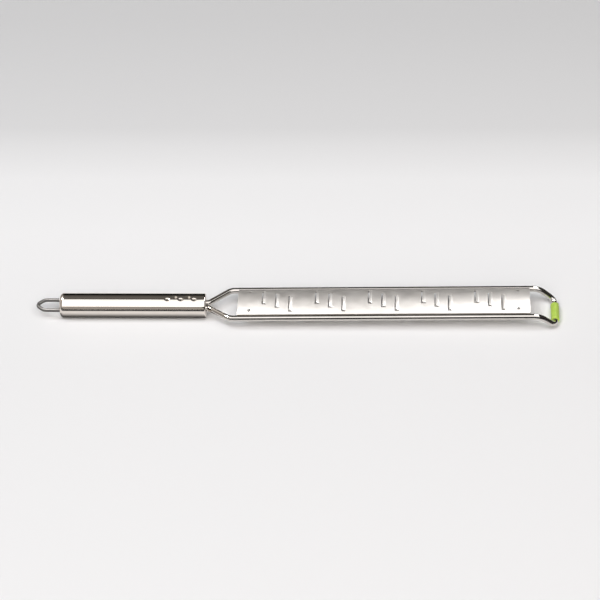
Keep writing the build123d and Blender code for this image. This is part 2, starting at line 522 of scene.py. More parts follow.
@dataclass(frozen=True)
class Finish:
    """What every surface finish of the grater has in common.

    NOISE_MIDDLE is the range that most of a noise lies in, NOISE_FALL how strong each
    finer octave is against the one before, and STRETCH how many times longer the
    finest marks are along X, Y and Z.

    Attributes:
        name: the material's name.
        tones: the darker and the lighter tone that the surface wanders between.
        tone_patch: size in millimetres of the patches where the tone changes.
        roughness: smoothest and roughest reading over the surface.
        smudge_patch: size in millimetres of the patches where the gloss changes.
        line_depth: height in millimetres of the finest marks in the surface.
        line_pitch: spacing in millimetres of those marks.
        line_detail: how many finer octaves ride on them.
        metal: whether the surface is bare metal.
    """

    NOISE_MIDDLE: ClassVar[Pair] = (0.3, 0.7)
    NOISE_FALL: ClassVar[float] = 0.55
    STRETCH: ClassVar[Point] = (1.0, 1.0, 1.0)

    name: str
    tones: tuple[Colour, Colour]
    tone_patch: float
    roughness: Pair
    smudge_patch: float
    line_depth: float
    line_pitch: float
    line_detail: float
    metal: bool = True

    def material(self) -> bpy.types.Material:
        """Make the finish as a material."""
        made, bench = fresh_material(self.name)
        place = bench.add("ShaderNodeTexCoord").outputs["Object"]
        shader = bench.add("ShaderNodeBsdfPrincipled")
        self.dress(bench, shader, place)
        bench.add("ShaderNodeOutputMaterial", {"Surface": shader.outputs["BSDF"]})
        return made

    def dress(self, bench: NodeBench, shader: bpy.types.Node, place: Socket) -> None:
        """Wire the pattern into the shader.

        Args:
            bench: the material's tree.
            shader: the surface shader.
            place: the coordinates that the pattern follows, in metres.
        """
        shader.inputs["Metallic"].default_value = float(self.metal)
        bench.feed(shader.inputs["Base Color"], self.colour(bench, place))
        smudge = self.noise(bench, place, self.smudge_patch, detail=5.0)
        gloss = bench.rescaled(smudge, self.NOISE_MIDDLE, self.roughness)
        bench.feed(shader.inputs["Roughness"], gloss)
        lines = self.marks(bench, place)
        depth = {"Strength": 1.0, "Distance": self.line_depth * MM, "Height": lines}
        bump = bench.add("ShaderNodeBump", depth)
        bench.feed(shader.inputs["Normal"], bump.outputs["Normal"])

    def colour(self, bench: NodeBench, place: Socket) -> Socket:
        """The surface's colour, which wanders between its two tones."""
        tone = self.noise(bench, place, self.tone_patch, detail=3.0)
        return bench.ramp(tone, list(zip(self.NOISE_MIDDLE, self.tones, strict=True)))

    def marks(self, bench: NodeBench, place: Socket) -> Socket:
        """Height of the finest marks in the surface, from 0 to 1."""
        return self.noise(bench, place, self.line_pitch, self.line_detail, self.STRETCH)

    @classmethod
    def noise(
        cls,
        bench: NodeBench,
        place: Socket,
        patch: float,
        detail: float,
        stretch: Point = (1.0, 1.0, 1.0),
    ) -> Socket:
        """Seamless noise in the solid, from 0 to 1.

        Args:
            bench: the material's tree.
            place: coordinates in metres.
            patch: size of a patch in millimetres.
            detail: how many finer octaves ride on it.
            stretch: how many times longer the patches are along X, Y and Z.

        Returns:
            The noise's factor.
        """
        scales = tuple(1.0 / (patch * MM * longer) for longer in stretch)
        scaled = bench.add("ShaderNodeMapping", {"Vector": place, "Scale": scales}).outputs[0]
        feeds = {"Vector": scaled, "Scale": 1.0, "Detail": detail, "Roughness": cls.NOISE_FALL}
        return bench.add("ShaderNodeTexNoise", feeds).outputs[0]


@dataclass(frozen=True)
class PolishedSteel(Finish):
    """Buffed stainless steel: near mirror, with fine rings left round it by the wheel."""

    STRETCH: ClassVar[Point] = (1.0, 60.0, 60.0)

    name: str = "polished_stainless_steel"
    tones: tuple[Colour, Colour] = ((0.78, 0.725, 0.665), (0.82, 0.765, 0.71))
    tone_patch: float = 22.0
    roughness: Pair = (0.04, 0.075)
    smudge_patch: float = 9.0
    line_depth: float = 0.0012
    line_pitch: float = 0.12
    line_detail: float = 2.0


@dataclass(frozen=True)
class DrawnWire(Finish):
    """Bright drawn stainless wire: lines from the die run along it, round every bend.

    The pattern follows two attributes of the mesh: the distance along the wire
    and the place on its round section.

    Attributes:
        line_length: length in millimetres of a drawing line.
    """

    name: str = "bright_drawn_wire"
    tones: tuple[Colour, Colour] = ((0.59, 0.56, 0.53), (0.67, 0.64, 0.605))
    tone_patch: float = 14.0
    roughness: Pair = (0.04, 0.07)
    smudge_patch: float = 5.0
    line_depth: float = 0.0008
    line_pitch: float = 0.16
    line_detail: float = 3.0
    line_length: float = 14.0

    def marks(self, bench: NodeBench, place: Socket) -> Socket:
        """Lines along the wire."""
        along = bench.add("ShaderNodeAttribute", attribute_name="along").outputs["Fac"]
        section = bench.add("ShaderNodeAttribute", attribute_name="section").outputs["Vector"]
        side, up, _ = bench.split(section)
        stretch = self.line_pitch / self.line_length
        unrolled = bench.join(side * MM, up * MM, bench.value(along) * (MM * stretch))
        return super().marks(bench, unrolled)


@dataclass(frozen=True)
class SatinSheet(Finish):
    """Rolled stainless sheet with a soft grain along it.

    Attributes:
        rail_shade: how far from the middle, in millimetres, painted shade by the rails starts and
            is full.
        rail_shade_tone: the colour of that painted shade.
    """

    STRETCH: ClassVar[Point] = (45.0, 1.0, 1.0)

    name: str = "satin_rolled_sheet"
    tones: tuple[Colour, Colour] = ((0.745, 0.715, 0.685), (0.815, 0.785, 0.755))
    tone_patch: float = 12.0
    roughness: Pair = (0.42, 0.48)
    smudge_patch: float = 7.0
    line_depth: float = 0.004
    line_pitch: float = 0.18
    line_detail: float = 3.0
    rail_shade: Pair = (14.3, 14.7)
    rail_shade_tone: Colour = (0.12, 0.105, 0.09)

    def colour(self, bench: NodeBench, place: Socket) -> Socket:
        """The sheet's colour, with painted shade darkening it beside the two rails."""
        # Painted shade: a dark band along each long edge, where the sheet meets a rail.
        start, full = self.rail_shade
        aside = bench.split(place)[1].size()
        share = bench.rescaled(aside, (start * MM, full * MM))
        return bench.mix(share, super().colour(bench, place), (*self.rail_shade_tone, 1.0))


@dataclass(frozen=True)
class SoftSilicone(Finish):
    """Moulded silicone rubber: soft lime green, faintly mottled, with a fine matt skin.

    Attributes:
        light_inside: share of the light that goes into the rubber and out again.
        light_reach: how far it travels inside, in millimetres.
        light_tint: how far each colour travels, as a share of that.
    """

    name: str = "lime_silicone"
    tones: tuple[Colour, Colour] = ((0.40, 0.575, 0.06), (0.47, 0.65, 0.085))
    tone_patch: float = 3.5
    roughness: Pair = (0.42, 0.58)
    smudge_patch: float = 1.6
    line_depth: float = 0.02
    line_pitch: float = 0.25
    line_detail: float = 2.0
    metal: bool = False
    light_inside: float = 0.12
    light_reach: float = 1.2
    light_tint: Colour = (0.6, 1.0, 0.25)

    def dress(self, bench: NodeBench, shader: bpy.types.Node, place: Socket) -> None:
        """Wire the pattern into the shader, and let a little light into the rubber."""
        super().dress(bench, shader, place)
        shader.inputs["Subsurface Weight"].default_value = self.light_inside
        shader.inputs["Subsurface Scale"].default_value = self.light_reach * MM
        shader.inputs["Subsurface Radius"].default_value = self.light_tint


# Making pieces


@dataclass
class Workpiece:
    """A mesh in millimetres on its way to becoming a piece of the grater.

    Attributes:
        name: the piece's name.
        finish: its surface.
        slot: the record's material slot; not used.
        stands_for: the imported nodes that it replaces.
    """

    name: str
    finish: Finish
    slot: Slot
    stands_for: tuple[str, ...]

    def blank(self, corners: np.ndarray, faces: Faces) -> bpy.types.Object:
        """Start the piece from corners and faces.

        Args:
            corners: one row of X, Y and Z in millimetres for each corner.
            faces: the corners of each face, anticlockwise from outside.

        Returns:
            The object, linked into the scene.
        """
        mesh = bpy.data.meshes.new(self.name)
        mesh.from_pydata([tuple(c) for c in np.asarray(corners, float)], [], faces)
        mesh.validate()
        made = bpy.data.objects.new(self.name, mesh)
        bpy.context.scene.collection.objects.link(made)
        return made

    def hand_over(self, made: bpy.types.Object, lie: Matrix | None = None) -> None:
        """Apply the modifiers, turn millimetres into metres and seat the piece on its body.

        Args:
            made: the object with its modifiers.
            lie: where the finished mesh is set down, if it isn't there already.
        """
        worked = apply_modifiers(made)
        worked.transform(Matrix.Scale(MM, 4) @ (lie or Matrix.Identity(4)))
        worked.polygons.foreach_set("use_smooth", [True] * len(worked.polygons))
        worked.set_sharp_from_angle(angle=SHARP_EDGE)
        flats = made.modifiers.new("flats_stay_flat", "WEIGHTED_NORMAL")
        flats.keep_sharp = True
        worked = apply_modifiers(made)
        worked.materials.clear()
        worked.materials.append(self.finish.material())
        worked.update()
        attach(made, BODY)
        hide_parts(*self.stands_for)
        low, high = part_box(self.stands_for[0])
        extent = " x ".join(f"{(b - a) / MM:.1f}" for a, b in zip(low, high, strict=True))
        log.info("%s: %d faces in a box of %s mm", self.name, len(worked.polygons), extent)


def apply_modifiers(made: bpy.types.Object) -> bpy.types.Mesh:
    """Work an object's modifiers into its mesh.

    Args:
        made: the object with its modifiers.

    Returns:
        Its new mesh.
    """
    bpy.context.view_layer.update()
    scene_state = bpy.context.evaluated_depsgraph_get()
    worked = bpy.data.meshes.new_from_object(
        made.evaluated_get(scene_state), preserve_all_data_layers=True, depsgraph=scene_state
    )
    made.modifiers.clear()
    rough = made.data
    made.data = worked
    bpy.data.meshes.remove(rough)
    worked.name = made.name
    return worked


def spaced(start: float, *stops: Pair) -> np.ndarray:
    """Positions along a line whose spacing changes from stretch to stretch.

    Args:
        start: the first place.
        stops: each next place, with the spacing up to it.

    Returns:
        The positions, each stop included.
    """
    places = [start]
    for end, spacing in stops:
        count = max(1, math.ceil(abs(end - places[-1]) / spacing - ROUNDING))
        places.extend(np.linspace(places[-1], end, count + 1)[1:])
    return np.array(places)


def filled_in(marks: set[float], widest: float) -> np.ndarray:
    """The marked positions in order, with more between them where they stand far apart.

    Args:
        marks: positions that must be there.
        widest: the largest spacing allowed.

    Returns:
        All the positions, in order.
    """
    ordered = sorted(marks)
    kept = [ordered[0]]
    for mark in ordered[1:]:
        if mark - kept[-1] > SAME_PLACE:
            kept.append(mark)
    return spaced(kept[0], *((mark, widest) for mark in kept[1:]))


def quarter_round(centre: Pair, radius: float, steps: int, start: float) -> list[Pair]:
    """Points on a quarter circle in a turned profile.

    Args:
        centre: the circle's centre, as its place along the axis and off it.
        radius: the circle's radius.
        steps: how many chords.
        start: the angle in degrees where the quarter starts, 0 along the axis and 90 off it.

    Returns:
        The points, given as the centre is.
    """
    along, off = centre
    turns = [math.radians(start + 90.0 * step / steps) for step in range(steps + 1)]
    return [(along + radius * math.cos(a), off + radius * math.sin(a)) for a in turns]


@dataclass
class Handle:
    """The closed tube handle: pressed tube, two turned caps and the hanging loop.

    Attributes:
        sizes: the part's dimensions.
        polished: finish of the tube and its caps.
        wire: finish of the loop, a darker copy of the drawn wire whose dark tones are painted
            shade.
        rim_softness: how softly a dimple's rim runs out into the tube, in millimetres.
        rim_reach: how far the fine mesh goes on past the outer dimples, in millimetres.
        rim_swing: how far it goes to either side of the row of dimples, in degrees.
        far_off: a radius in millimetres that stands for no dimple at all.
        fine_step: spacing of the tube's rings at the dimples, in millimetres.
        inner_coarseness: how many times wider it is on the inner skin.
        wide_step: spacing of the rings elsewhere, in millimetres.
        fine_turn: spacing of the corners round the tube at the dimples, in degrees.
        coarse_turn: the same elsewhere, in degrees.
        cap_segments: sides of a cap.
        cap_ring_step: spacing of the rings on a cap's face, in millimetres.
        cap_round_steps: chords in a cap's rounded edge.
        cap_pole: radius of the innermost ring of a cap's face, in millimetres.
        drill_segments: sides of a wire hole.
        drill_overrun: how far the drill goes to either side of the seat, in millimetres.
        bend_steps: chords in each bend of the loop.
        round_steps: sides of the loop's round section.
    """

    sizes: GraterSizes
    polished: Finish = field(default_factory=PolishedSteel)
    # Painted shade: the loop's wire tones are far darker than the frame's drawn wire, to darken
    # the whole loop.
    wire: Finish = DrawnWire(
        name="dull_wire_painted_dark",
        tones=((0.15, 0.145, 0.138), (0.195, 0.188, 0.18)),
        roughness=(0.36, 0.44),
    )
    rim_softness: float = 0.32
    rim_reach: float = 2.7
    rim_swing: float = 20.0
    far_off: float = 100.0
    fine_step: float = 0.17
    inner_coarseness: int = 3
    wide_step: float = 3.0
    fine_turn: float = 1.0
    coarse_turn: float = 3.0
    cap_segments: int = 144
    cap_ring_step: float = 0.6
    cap_round_steps: int = 18
    cap_pole: float = 0.4
    drill_segments: int = 56
    drill_overrun: float = 8.0
    bend_steps: int = 24
    round_steps: int = 40

    def build(self) -> None:
        """Make the tube, both caps and the loop."""
        self.make_tube()
        for end in HandleEnd:
            self.make_cap(end)
        self.make_loop()

    def press_tree(self) -> GeometryTree:
        """The tree that presses the dimples into the wall of the tube.

        Returns:
            The tree, ready to fit to the plain tube.
        """
        s = self.sizes
        tree = GeometryTree(
            "press_dimples",
            {
                "First Dimple X": s.first_dimple_x,
                "Dimple Count": s.dimple_count,
                "Dimple Step": s.dimple_step,
                "Row Turn": math.radians(s.dimple_turn),
                "Zigzag Turn": s.dimple_zigzag / s.tube_radius,
                "Tube Radius": s.tube_radius,
                "Ball Radius": s.dimple_ball_radius,
                "Dimple Depth": s.dimple_depth,
                "Rim Softness": self.rim_softness,
            },
        )
        x, y, z = tree.position()
        outside = tree.size("Tube Radius")
        up = z - outside
        shell = (y * y + up * up).root()
        around = tree.calc("ARCTAN2", 0.0 - y, up)

        # The dimple that this point could lie in
        from_first = tree.size("First Dimple X") - x
        nearest = (from_first / tree.size("Dimple Step") + 0.5).floor()
        nearest = nearest.at_least(0.0).at_most(tree.size("Dimple Count") - 1.0)
        off_centre = from_first - nearest * tree.size("Dimple Step")
        odd = tree.calc("MODULO", nearest, 2.0)
        middle = tree.size("Row Turn") + (0.5 - odd) * tree.size("Zigzag Turn")
        swing = around - middle

        # Where a line from the tube's axis through this point meets the ball
        ball = tree.size("Ball Radius")
        ball_centre = outside + ball - tree.size("Dimple Depth")
        shell_ball = ball + (outside - shell)
        facing = swing.cosine()
        under_root = (
            ball_centre * ball_centre * facing * facing
            + shell_ball * shell_ball
            - off_centre * off_centre
            - ball_centre * ball_centre
        )
        on_ball = ball_centre * facing - under_root.root()

        # Beside the ball, or over 60 degrees round from it, nothing is pressed
        missed =(under_root < 0.0).at_least(facing < 0.5)
        pressed = on_ball + missed * self.far_off
        radius = tree.calc("SMOOTH_MIN", shell, pressed, tree.size("Rim Softness"))
        tree.move_to(x, 0.0 - radius * around.sine(), outside + radius * around.cosine())
        tree.finish()
        return tree

    def make_tube(self) -> None:
        """The tube as an outer and an inner skin, closed at both ends."""
        s = self.sizes
        fore = s.first_dimple_x + self.rim_reach
        aft = s.first_dimple_x - (s.dimple_count - 1) * s.dimple_step - self.rim_reach
        fine, wide = self.fine_step, self.wide_step
        fine_inside = self.inner_coarseness * fine
        outer = spaced(s.tube_rear, (aft, wide), (fore, fine), (s.tube_front, wide))
        inner = spaced(s.tube_front, (fore, wide), (aft, fine_inside), (s.tube_rear, wide))
        row, swing, coarse = s.dimple_turn, self.rim_swing, self.coarse_turn
        over_row = (row + swing, self.fine_turn)
        round_tube = spaced(row - 180.0, (row - swing, coarse), over_row, (row + 180.0, coarse))
        turns = np.radians(round_tube[:-1])
        rings = [(x, s.tube_radius) for x in outer] + [(x, s.bore_radius) for x in inner]
        corners = ring_corners(rings, (0.0, s.tube_radius), turns)
        faces = ring_faces(len(rings), len(turns), closed=True)
        work = Workpiece("handle_tube_polished", self.polished, Slot.POLISHED, ("handle_tube",))
        tube = work.blank(corners, faces)
        self.press_tree().fit_to(tube)
        work.hand_over(tube)

    def make_cap(self, end: HandleEnd) -> None:
        """A turned cap: rounded disc and hollow spigot, drilled for its two wires.

        Args:
            end: which end of the handle it closes.
        """
        s = self.sizes
        if end is HandleEnd.FRONT:
            node, seat, face, edge = "front_cap", s.tube_front, s.front_cap_face, s.front_cap_round
            wire, centres = s.rail_wire, s.tail_centres
        else:
            node, seat, face, edge = "rear_cap", s.tube_rear, s.rear_cap_face, s.rear_cap_round
            wire, centres = s.loop_wire, s.loop_centres
        spigot = s.bore_radius - s.spigot_clearance
        hollow = spigot - s.spigot_wall
        flat = s.tube_radius - edge
        pole = self.cap_pole
        profile = [(face, r) for r in spaced(pole, (flat, self.cap_ring_step))]
        profile += quarter_round((face - edge, flat), edge, self.cap_round_steps, 0.0)[1:]
        profile += [(0.0, s.tube_radius), (0.0, spigot)]
        profile += [(-s.spigot_length, spigot), (-s.spigot_length, hollow)]
        profile += [(0.0, r) for r in spaced(hollow, (pole, 2 * self.cap_ring_step))]
        work = Workpiece(f"{node}_polished", self.polished, Slot.POLISHED, (node,))
        rings = [(seat + end.value * x, r) for x, r in profile]
        cap = work.blank(*turned(rings, (0.0, s.tube_radius), self.cap_segments))
        face_outward(cap)
        drills = []
        for y in (centres / 2, -centres / 2):
            reach = [(seat - self.drill_overrun, wire / 2), (seat + self.drill_overrun, wire / 2)]
            drill = work.blank(*turned(reach, (y, s.tube_radius), self.drill_segments))
            face_outward(drill)
            hole = cap.modifiers.new("wire_hole", "BOOLEAN")
            hole.operation = "DIFFERENCE"
            hole.solver = "EXACT"
            hole.object = drill
            drills.append(drill)
        work.hand_over(cap)
        for drill in drills:
            bpy.data.objects.remove(drill)

    def make_loop(self) -> None:
        """The hanging loop, bent from thin wire and drawn in to a narrow nose."""
        s = self.sizes
        leg = s.loop_centres / 2
        half = [
            ((s.tube_rear + s.loop_tail_inside, leg, s.tube_radius), 0.0),
            ((s.loop_shoulder_x, leg, s.tube_radius), s.loop_shoulder_radius),
            ((s.loop_nose_x, s.loop_nose / 2, s.tube_radius), s.loop_nose_radius),
        ]
        work = Workpiece("hanging_loop_bright", self.wire, Slot.WIRE, ("hanging_loop",))
        bent_wire(work, half, s.loop_wire, self.bend_steps, self.round_steps)


def ring_faces(rings: int, around: int, closed: bool) -> Faces:
    """Quads between rings of corners that follow each other.

    Args:
        rings: how many rings.
        around: how many corners in each.
        closed: whether the last ring joins the first again.

    Returns:
        The corners of each face.
    """
    faces = []
    for i in range(rings if closed else rings - 1):
        near, far = i * around, ((i + 1) % rings) * around
        for j in range(around):
            k = (j + 1) % around
            faces.append((near + j, far + j, far + k, near + k))
    return faces


def ring_corners(profile: list[Pair], axis: Pair, turns: np.ndarray) -> np.ndarray:
    """Corners in rings round a line along X.

    Args:
        profile: X and radius of each ring.
        axis: Y and Z of the line.
        turns: angles round the line in radians, from its top towards -Y.

    Returns:
        The corners, ring by ring.
    """
    y, z = axis
    rings = [(x, y - r * math.sin(a), z + r * math.cos(a)) for x, r in profile for a in turns]
    return np.array(rings)


def turned(profile: list[Pair], axis: Pair, around: int) -> tuple[np.ndarray, Faces]:
    """A solid turned about a line along X, with a flat face at each end.

    Args:
        profile: X and radius from one end of the outline to the other.
        axis: Y and Z of the line.
        around: how many corners in each ring.

    Returns:
        The corners and the faces.
    """
    turns = np.linspace(0.0, 2 * math.pi, around, endpoint=False)
    last = (len(profile) - 1) * around
    ends = [tuple(range(around)), tuple(range(last, last + around))]
    faces = ring_faces(len(profile), around, closed=False) + ends
    return ring_corners(profile, axis, turns), faces


def face_outward(made: bpy.types.Object) -> None:
    """Turn every face of a closed mesh to look outward."""
    mesh = bmesh.new()
    mesh.from_mesh(made.data)
    bmesh.ops.recalc_face_normals(mesh, faces=mesh.faces[:])
    mesh.to_mesh(made.data)
    mesh.free()


def wire_tree(
    finish: bpy.types.Material, diameter: float, bend_steps: int, round_steps: int
) -> GeometryTree:
    """The tree that bends a wire along a route and gives it its round section.

    Args:
        finish: the wire's material.
        diameter: of the wire, in millimetres.
        bend_steps: chords in each bend.
        round_steps: sides of the round section.

    Returns:
        The tree, ready to fit to the route.
    """
    tree = GeometryTree(
        "bend_wire",
        {
            "Wire Radius": diameter / 2,
            "Bend Steps": bend_steps,
            "Round Steps": round_steps,
            "Finish": finish,
        },
    )
    route = tree.add("GeometryNodeMeshToCurve", {"Mesh": tree.geometry})
    bend = tree.add("GeometryNodeInputNamedAttribute", {"Name": "bend"}, data_type="FLOAT")
    feeds = {
        "Curve": route.outputs[0],
        "Radius": bend.outputs[0],
        "Count": tree.size("Bend Steps"),
        "Limit Radius": True,
    }
    fillet = tree.add("GeometryNodeFilletCurve", feeds, mode="POLY")
    along = tree.add("GeometryNodeSplineParameter").outputs["Length"]
    measured = tree.labelled(fillet.outputs[0], "along", "FLOAT", along)
    feeds = {"Resolution": tree.size("Round Steps"), "Radius": tree.size("Wire Radius")}
    circle = tree.add("GeometryNodeCurvePrimitiveCircle", feeds, mode="RADIUS")
    where = tree.add("GeometryNodeInputPosition").outputs[0]
    section = tree.labelled(circle.outputs[0], "section", "FLOAT_VECTOR", where)
    feeds = {"Curve": measured, "Profile Curve": section, "Fill Caps": True}
    tree.geometry = tree.add("GeometryNodeCurveToMesh", feeds).outputs[0]
    tree.finish("Finish")
    return tree


def bent_wire(
    work: Workpiece,
    half: list[tuple[Point, float]],
    diameter: float,
    bend_steps: int,
    round_steps: int,
) -> None:
    """Bend one wire, whose two halves mirror each other across Y = 0, and hand it over.

    Args:
        work: the piece it becomes.
        half: the corners of half its route, each with its bend radius, in millimetres.
        diameter: of the wire, in millimetres.
        bend_steps: chords in each bend.
        round_steps: sides of the round section.
    """
    whole = half + [((x, -y, z), bend) for (x, y, z), bend in reversed(half)]
    route, bends = zip(*whole, strict=True)
    line = work.blank(np.array(route), [])
    line.data.edges.add(len(route) - 1)
    pairs = [corner for i in range(len(route) - 1) for corner in (i, i + 1)]
    line.data.edges.foreach_set("vertices", pairs)
    line.data.attributes.new("bend", "FLOAT", "POINT").data.foreach_set("value", bends)
    line.data.update()
    wire_tree(work.finish.material(), diameter, bend_steps, round_steps).fit_to(line)
    work.hand_over(line)


@dataclass
class WireFrame:
    """The frame bent from one wire, and the soft sleeve that is its foot.

    Attributes:
        sizes: the part's dimensions.
        wire: finish of the frame.
        rubber: finish of the sleeve.
        bend_steps: chords in each bend of the wire.
        round_steps: sides of its round section.
        sleeve_segments: sides of the sleeve.
        sleeve_round_steps: chords in the sleeve's rounded edges.
    """

    sizes: GraterSizes
    wire: Finish = field(default_factory=DrawnWire)
    rubber: Finish = field(default_factory=SoftSilicone)
    bend_steps: int = 28
    round_steps: int = 56
    sleeve_segments: int = 96
    sleeve_round_steps: int = 8

    def build(self) -> None:
        """Make the wire and its sleeve."""
        self.make_wire()
        self.make_sleeve()

    def make_wire(self) -> None:
        """Tail, neck, rail, dropped tip and crossbar, and back to the other tail."""
        s = self.sizes
        tail = s.tail_centres / 2
        rail, neck_x, tip_x = s.half_rails, s.neck_bend_x, s.tip_bend_x
        half = [
            ((s.handle_front - s.tail_inside, tail, s.tube_radius), 0.0),
            ((s.splay_x, tail, s.tube_radius), s.splay_bend_radius),
            ((neck_x, rail, s.rail_height(neck_x)), s.neck_bend_radius),
            ((tip_x, rail, s.rail_height(tip_x)), s.tip_bend_radius),
            ((s.crossbar_x, rail - s.tip_pinch, s.sleeve_radius), s.crossbar_bend_radius),
        ]
        work = Workpiece("frame_wire_bright", self.wire, Slot.WIRE, ("frame_wire",))
        bent_wire(work, half, s.rail_wire, self.bend_steps, self.round_steps)

    def make_sleeve(self) -> None:
        """The sleeve, turned about the crossbar, with rounded edges and an open bore."""
        s = self.sizes
        half, edge = s.sleeve_length / 2, s.sleeve_edge_round
        centre, steps = s.sleeve_radius - edge, self.sleeve_round_steps
        ring = [(half, s.rail_radius)]
        ring += quarter_round((half - edge, centre), edge, steps, 0.0)
        ring += quarter_round((edge - half, centre), edge, steps, 90.0)
        ring += [(-half, s.rail_radius)]
        turns = np.linspace(0.0, 2 * math.pi, self.sleeve_segments, endpoint=False)
        corners = [
            (s.crossbar_x + r * math.sin(a), y, s.sleeve_radius + r * math.cos(a))
            for y, r in ring
            for a in turns
        ]
        faces = ring_faces(len(ring), len(turns), closed=True)
        work = Workpiece("foot_sleeve_soft", self.rubber, Slot.SILICONE, ("foot_sleeve",))
        sleeve = work.blank(np.array(corners), faces)
        face_outward(sleeve)
        work.hand_over(sleeve)


@dataclass
class GratingPlate:
    """The arched sheet with its cut and raised tongues.

    It is made as the real one is: the outline and the holes are laid out flat,
    the tongues are punched, the edges are broken, and the sheet is bent and arched.

    Attributes:
        sizes: the part's dimensions.
        satin: the sheet's finish.
        widest_along: widest spacing of the layout's cross lines, in millimetres.
        widest_across: widest spacing of its long lines, in millimetres.
        hole_block: half side of the square that a corner hole is laid out in, in millimetres.
        hole_steps: layout lines between the middle of a hole and its edge.
        bend_lines: layout lines in the bend of a tongue.
        grind_margin: how far past the ground face its layout line stands, in millimetres.
        edge_break: width of the broken edges, in millimetres.
        edge_segments: faces in a broken edge.
        edge_angle: the least angle in degrees of an edge that is broken.
        free_edge_reach: how many edge breaks from the slot a tongue's end face may stand.
        weld_overlap: how far the sheet runs into the rail's wire, in millimetres.
    """

    sizes: GraterSizes
    satin: Finish = field(default_factory=SatinSheet)
    widest_along: float = 3.0
    widest_across: float = 0.55
    hole_block: float = 2.0
    hole_steps: int = 5
    bend_lines: int = 5
    grind_margin: float = 0.2
    edge_break: float = 0.06
    edge_segments: int = 2
    edge_angle: float = 60.0
    free_edge_reach: float = 1.5
    weld_overlap: float = 0.12

    def build(self) -> None:
        """Lay out, punch, break the edges, bend and set down."""
        s = self.sizes
        work = Workpiece("grating_plate_satin", self.satin, Slot.SATIN, ("grating_plate",))
        sheet = work.blank(*self.flat_pattern())
        self.punch_tree().fit_to(sheet)
        wall = sheet.modifiers.new("sheet_thickness", "SOLIDIFY")
        wall.thickness = s.plate_thickness
        wall.offset = 0.0
        edges = sheet.modifiers.new("broken_edges", "BEVEL")
        edges.width = self.edge_break
        edges.segments = self.edge_segments
        edges.limit_method = "ANGLE"
        edges.angle_limit = math.radians(self.edge_angle)
        self.bend_tree().fit_to(sheet)
        plate_x = s.neck_bend_x + s.plate_from_bend
        pitch = math.atan(s.rail_slope)
        place = Matrix.Translation((plate_x, 0.0, s.rail_height(plate_x)))
        drop = Matrix.Translation((0.0, 0.0, -s.arch_centre_drop))
        work.hand_over(sheet, place @ Matrix.Rotation(-pitch, 4, "Y") @ drop)

    def lines_along(self) -> np.ndarray:
        """Where the layout's cross lines stand along the plate."""
        s = self.sizes
        marks = {0.0, s.plate_length}
        bend = s.tongue_bend_radius * math.radians(s.tongue_slope)
        for group in range(s.group_count):
            for row in range(s.tongues_in_group):
                start = s.field_start + group * s.group_pitch + row * s.tongue_pitch
                free = start + s.window_gap
                hinge = start + s.window_length
                marks |= {start, free, free + s.grind_length + self.grind_margin}
                steps = range(self.bend_lines + 1)
                marks |= {hinge - bend * step / self.bend_lines for step in steps}
        for centre in (s.corner_hole_inset, s.plate_length - s.corner_hole_inset):
            marks |= self.hole_lines(centre)
        return filled_in(marks, self.widest_along)

    def lines_across(self) -> np.ndarray:
        """Where the layout's long lines stand across the plate, measured on the arch."""
        s = self.sizes
        edge = s.plate_arch_radius * s.arch_half_angle + self.weld_overlap
        marks = {-edge, edge}
        for row in range(s.tongues_in_group):
            middle = ((s.tongues_in_group - 1) / 2 - row) * s.tongue_stagger
            for half in (s.window_width / 2, s.window_width / 2 - s.window_gap):
                marks |= {middle - half, middle + half}
        for centre in (s.corner_hole_centres / 2, -s.corner_hole_centres / 2):
            marks |= self.hole_lines(centre)
        return filled_in(marks, self.widest_across)

    def hole_lines(self, centre: float) -> set[float]:
        """Layout lines through a corner hole and round it."""
        radius = self.sizes.corner_hole / 2
        steps = range(-self.hole_steps, self.hole_steps + 1)
        through = {centre + radius * step / self.hole_steps for step in steps}
        return through | {centre - self.hole_block, centre + self.hole_block}

    def flat_pattern(self) -> tuple[np.ndarray, Faces]:
        """The flat sheet as a mesh of quads, with the round corner holes left open.

        Returns:
            The corners and the faces.
        """
        s = self.sizes
        along, across = self.lines_along(), self.lines_across()
        x, y = np.meshgrid(along, across, indexing="ij")
        middle_x = (along[:-1] + along[1:]) / 2
        middle_y = (across[:-1] + across[1:]) / 2
        kept = np.ones((len(middle_x), len(middle_y)), bool)
        radius = s.corner_hole / 2
        for hole_x in (s.corner_hole_inset, s.plate_length - s.corner_hole_inset):
            for hole_y in (s.corner_hole_centres / 2, -s.corner_hole_centres / 2):
                x, y = self.round_off(x, y, (hole_x, hole_y))
                inside_x = np.abs(middle_x - hole_x) < radius
                inside_y = np.abs(middle_y - hole_y) < radius
                kept &= ~np.outer(inside_x, inside_y)
        corners = np.stack([x, y, np.zeros_like(x)], axis=-1).reshape(-1, 3)
        rows = len(across)
        faces = [
            (i * rows + j, (i + 1) * rows + j, (i + 1) * rows + j + 1, i * rows + j + 1)
            for i in range(len(middle_x))
            for j in range(len(middle_y))
            if kept[i, j]
        ]
        return corners, faces

    def round_off(
        self, x: np.ndarray, y: np.ndarray, centre: Pair
    ) -> tuple[np.ndarray, np.ndarray]:
        """Draw the square rings of the layout round a corner hole into circles.

        Args:
            x: X of every corner of the layout.
            y: Y of every corner.
            centre: X and Y of the hole's middle.

        Returns:
            The new X and Y of every corner.
        """
        radius = self.sizes.corner_hole / 2
        dx, dy = x - centre[0], y - centre[1]
        square = np.maximum(np.abs(dx), np.abs(dy))
        steep = np.abs(dy) > np.abs(dx)
        ratio = np.where(steep, dx, dy) / np.where(square > 0, square, 1.0)
        turn = ratio * math.pi / 4
        sign = np.where(steep, np.sign(dy), np.sign(dx))
        long_side, short_side = square * np.cos(turn), square * np.sin(turn)
        round_x = np.where(steep, short_side, sign * long_side)
        round_y = np.where(steep, sign * long_side, short_side)
        weight = np.clip((self.hole_block - square) / (self.hole_block - radius), 0, 1)
        return x + weight * (round_x - dx), y + weight * (round_y - dy)

